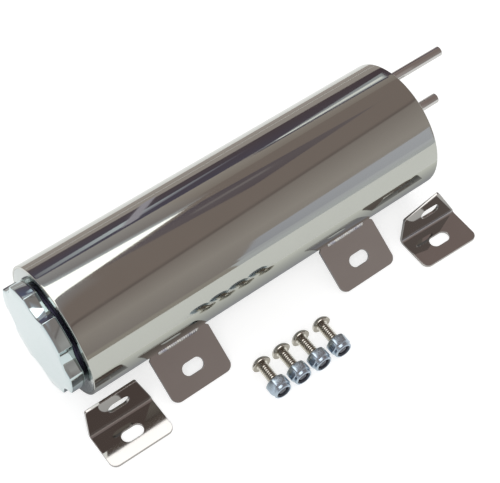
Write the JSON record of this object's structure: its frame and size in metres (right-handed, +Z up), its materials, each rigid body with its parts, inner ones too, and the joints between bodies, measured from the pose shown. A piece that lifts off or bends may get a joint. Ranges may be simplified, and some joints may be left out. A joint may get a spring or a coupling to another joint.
{
  "type": "coolant overflow tank",
  "caption": "Polished cylindrical coolant overflow tank with screw cap, hose tubes and slotted tabs, laid out with its loose L-brackets, screws and lock nuts.",
  "frame": {"origin": "on the floor, under the middle of the whole set as it is laid out", "axes": "+X along the tank from its cap to its hose tubes, +Z up, tabs and loose hardware toward -Y"},
  "size_m": [0.2904, 0.1234, 0.0762],
  "materials": {
    "polished_stainless": "mirror polished",
    "polished_stainless_disc": "mirror polished",
    "polished_stainless_sheet": "mirror polished",
    "machined_stainless": "turned",
    "stainless_weld": "as welded",
    "stainless_tube": "drawn, polished",
    "polished_billet_aluminium": "polished",
    "black_rubber": "matt",
    "stainless_screw": "bright",
    "zinc_plated_steel": "zinc plated",
    "dark_nylon": "moulded"
  },
  "bodies": {
    "tank": {"tank_shell": "polished_stainless", "cap_end_disc": "polished_stainless_disc", "tube_end_disc": "polished_stainless_disc", "filler_neck": "machined_stainless", "neck_weld": "stainless_weld", "radiator_tube": "stainless_tube", "overflow_tube": "stainless_tube", "standpipe": "stainless_tube", "radiator_tube_weld": "stainless_weld", "overflow_tube_weld": "stainless_weld", "standpipe_weld": "stainless_weld", "front_tab": "polished_stainless_sheet", "rear_tab": "polished_stainless_sheet", "front_tab_weld": "stainless_weld", "rear_tab_weld": "stainless_weld"},
    "cap_seal": {"cap_seal": "black_rubber"},
    "cap": {"cap": "polished_billet_aluminium"},
    "front_bracket": {"front_bracket": "polished_stainless_sheet"},
    "rear_bracket": {"rear_bracket": "polished_stainless_sheet"},
    "screw_1": {"screw_1": "stainless_screw"},
    "nut_insert_1": {"nut_insert_1": "dark_nylon"},
    "nut_1": {"nut_1": "zinc_plated_steel"},
    "screw_2": {"screw_2": "stainless_screw"},
    "nut_insert_2": {"nut_insert_2": "dark_nylon"},
    "nut_2": {"nut_2": "zinc_plated_steel"},
    "screw_3": {"screw_3": "stainless_screw"},
    "nut_insert_3": {"nut_insert_3": "dark_nylon"},
    "nut_3": {"nut_3": "zinc_plated_steel"},
    "screw_4": {"screw_4": "stainless_screw"},
    "nut_insert_4": {"nut_insert_4": "dark_nylon"},
    "nut_4": {"nut_4": "zinc_plated_steel"}
  },
  "joints": [
    {"name": "cap_lift", "type": "slide", "parent": "tank", "child": "cap_seal", "axis": [-1, 0, 0], "range_m": [0, 0.0104]},
    {"name": "cap_turn", "type": "hinge", "parent": "cap_seal", "child": "cap", "pos_m": [-0.13438, 0.02361, 0.0381], "axis": [-1, 0, 0], "range_deg": [0, 1497.59]},
    {"name": "front_bracket_lift", "type": "slide", "parent": "tank", "child": "front_bracket", "axis": [0, 0, 1], "range_m": [0, 0.1]},
    {"name": "rear_bracket_lift", "type": "slide", "parent": "tank", "child": "rear_bracket", "axis": [0, 0, 1], "range_m": [0, 0.1]},
    {"name": "screw_1_lift", "type": "slide", "parent": "tank", "child": "screw_1", "axis": [0, 0, 1], "range_m": [0, 0.1]},
    {"name": "nut_1_run", "type": "slide", "parent": "screw_1", "child": "nut_insert_1", "axis": [0.0523, 0.9986, 0], "range_m": [-0.00765, 0.0116]},
    {"name": "nut_1_turn", "type": "hinge", "parent": "nut_insert_1", "child": "nut_1", "pos_m": [-0.05118, -0.06069, 0.00556], "axis": [0.0523, 0.9986, 0], "range_deg": [-2168.49, 3288.18]},
    {"name": "screw_2_lift", "type": "slide", "parent": "tank", "child": "screw_2", "axis": [0, 0, 1], "range_m": [0, 0.1]},
    {"name": "nut_2_run", "type": "slide", "parent": "screw_2", "child": "nut_insert_2", "axis": [0.0349, 0.9994, 0], "range_m": [-0.00765, 0.0116]},
    {"name": "nut_2_turn", "type": "hinge", "parent": "nut_insert_2", "child": "nut_2", "pos_m": [-0.03757, -0.06069, 0.00556], "axis": [0.0349, 0.9994, 0], "range_deg": [-2168.49, 3288.18]},
    {"name": "screw_3_lift", "type": "slide", "parent": "tank", "child": "screw_3", "axis": [0, 0, 1], "range_m": [0, 0.1]},
    {"name": "nut_3_run", "type": "slide", "parent": "screw_3", "child": "nut_insert_3", "axis": [0.0175, 0.9998, 0], "range_m": [-0.00765, 0.0116]},
    {"name": "nut_3_turn", "type": "hinge", "parent": "nut_insert_3", "child": "nut_3", "pos_m": [-0.02396, -0.06069, 0.00556], "axis": [0.0175, 0.9998, 0], "range_deg": [-2168.49, 3288.18]},
    {"name": "screw_4_lift", "type": "slide", "parent": "tank", "child": "screw_4", "axis": [0, 0, 1], "range_m": [0, 0.1]},
    {"name": "nut_4_run", "type": "slide", "parent": "screw_4", "child": "nut_insert_4", "axis": [0.0523, 0.9986, 0], "range_m": [-0.00765, 0.0116]},
    {"name": "nut_4_turn", "type": "hinge", "parent": "nut_insert_4", "child": "nut_4", "pos_m": [-0.01035, -0.06069, 0.00556], "axis": [0.0523, 0.9986, 0], "range_deg": [-2168.49, 3288.18]}
  ],
  "couplings": [
    {"joint": "cap_lift", "follows": "cap_turn", "m_per_rad": 0.00039789},
    {"joint": "nut_1_run", "follows": "nut_1_turn", "m_per_rad": 0.00020213},
    {"joint": "nut_2_run", "follows": "nut_2_turn", "m_per_rad": 0.00020213},
    {"joint": "nut_3_run", "follows": "nut_3_turn", "m_per_rad": 0.00020213},
    {"joint": "nut_4_run", "follows": "nut_4_turn", "m_per_rad": 0.00020213}
  ]
}
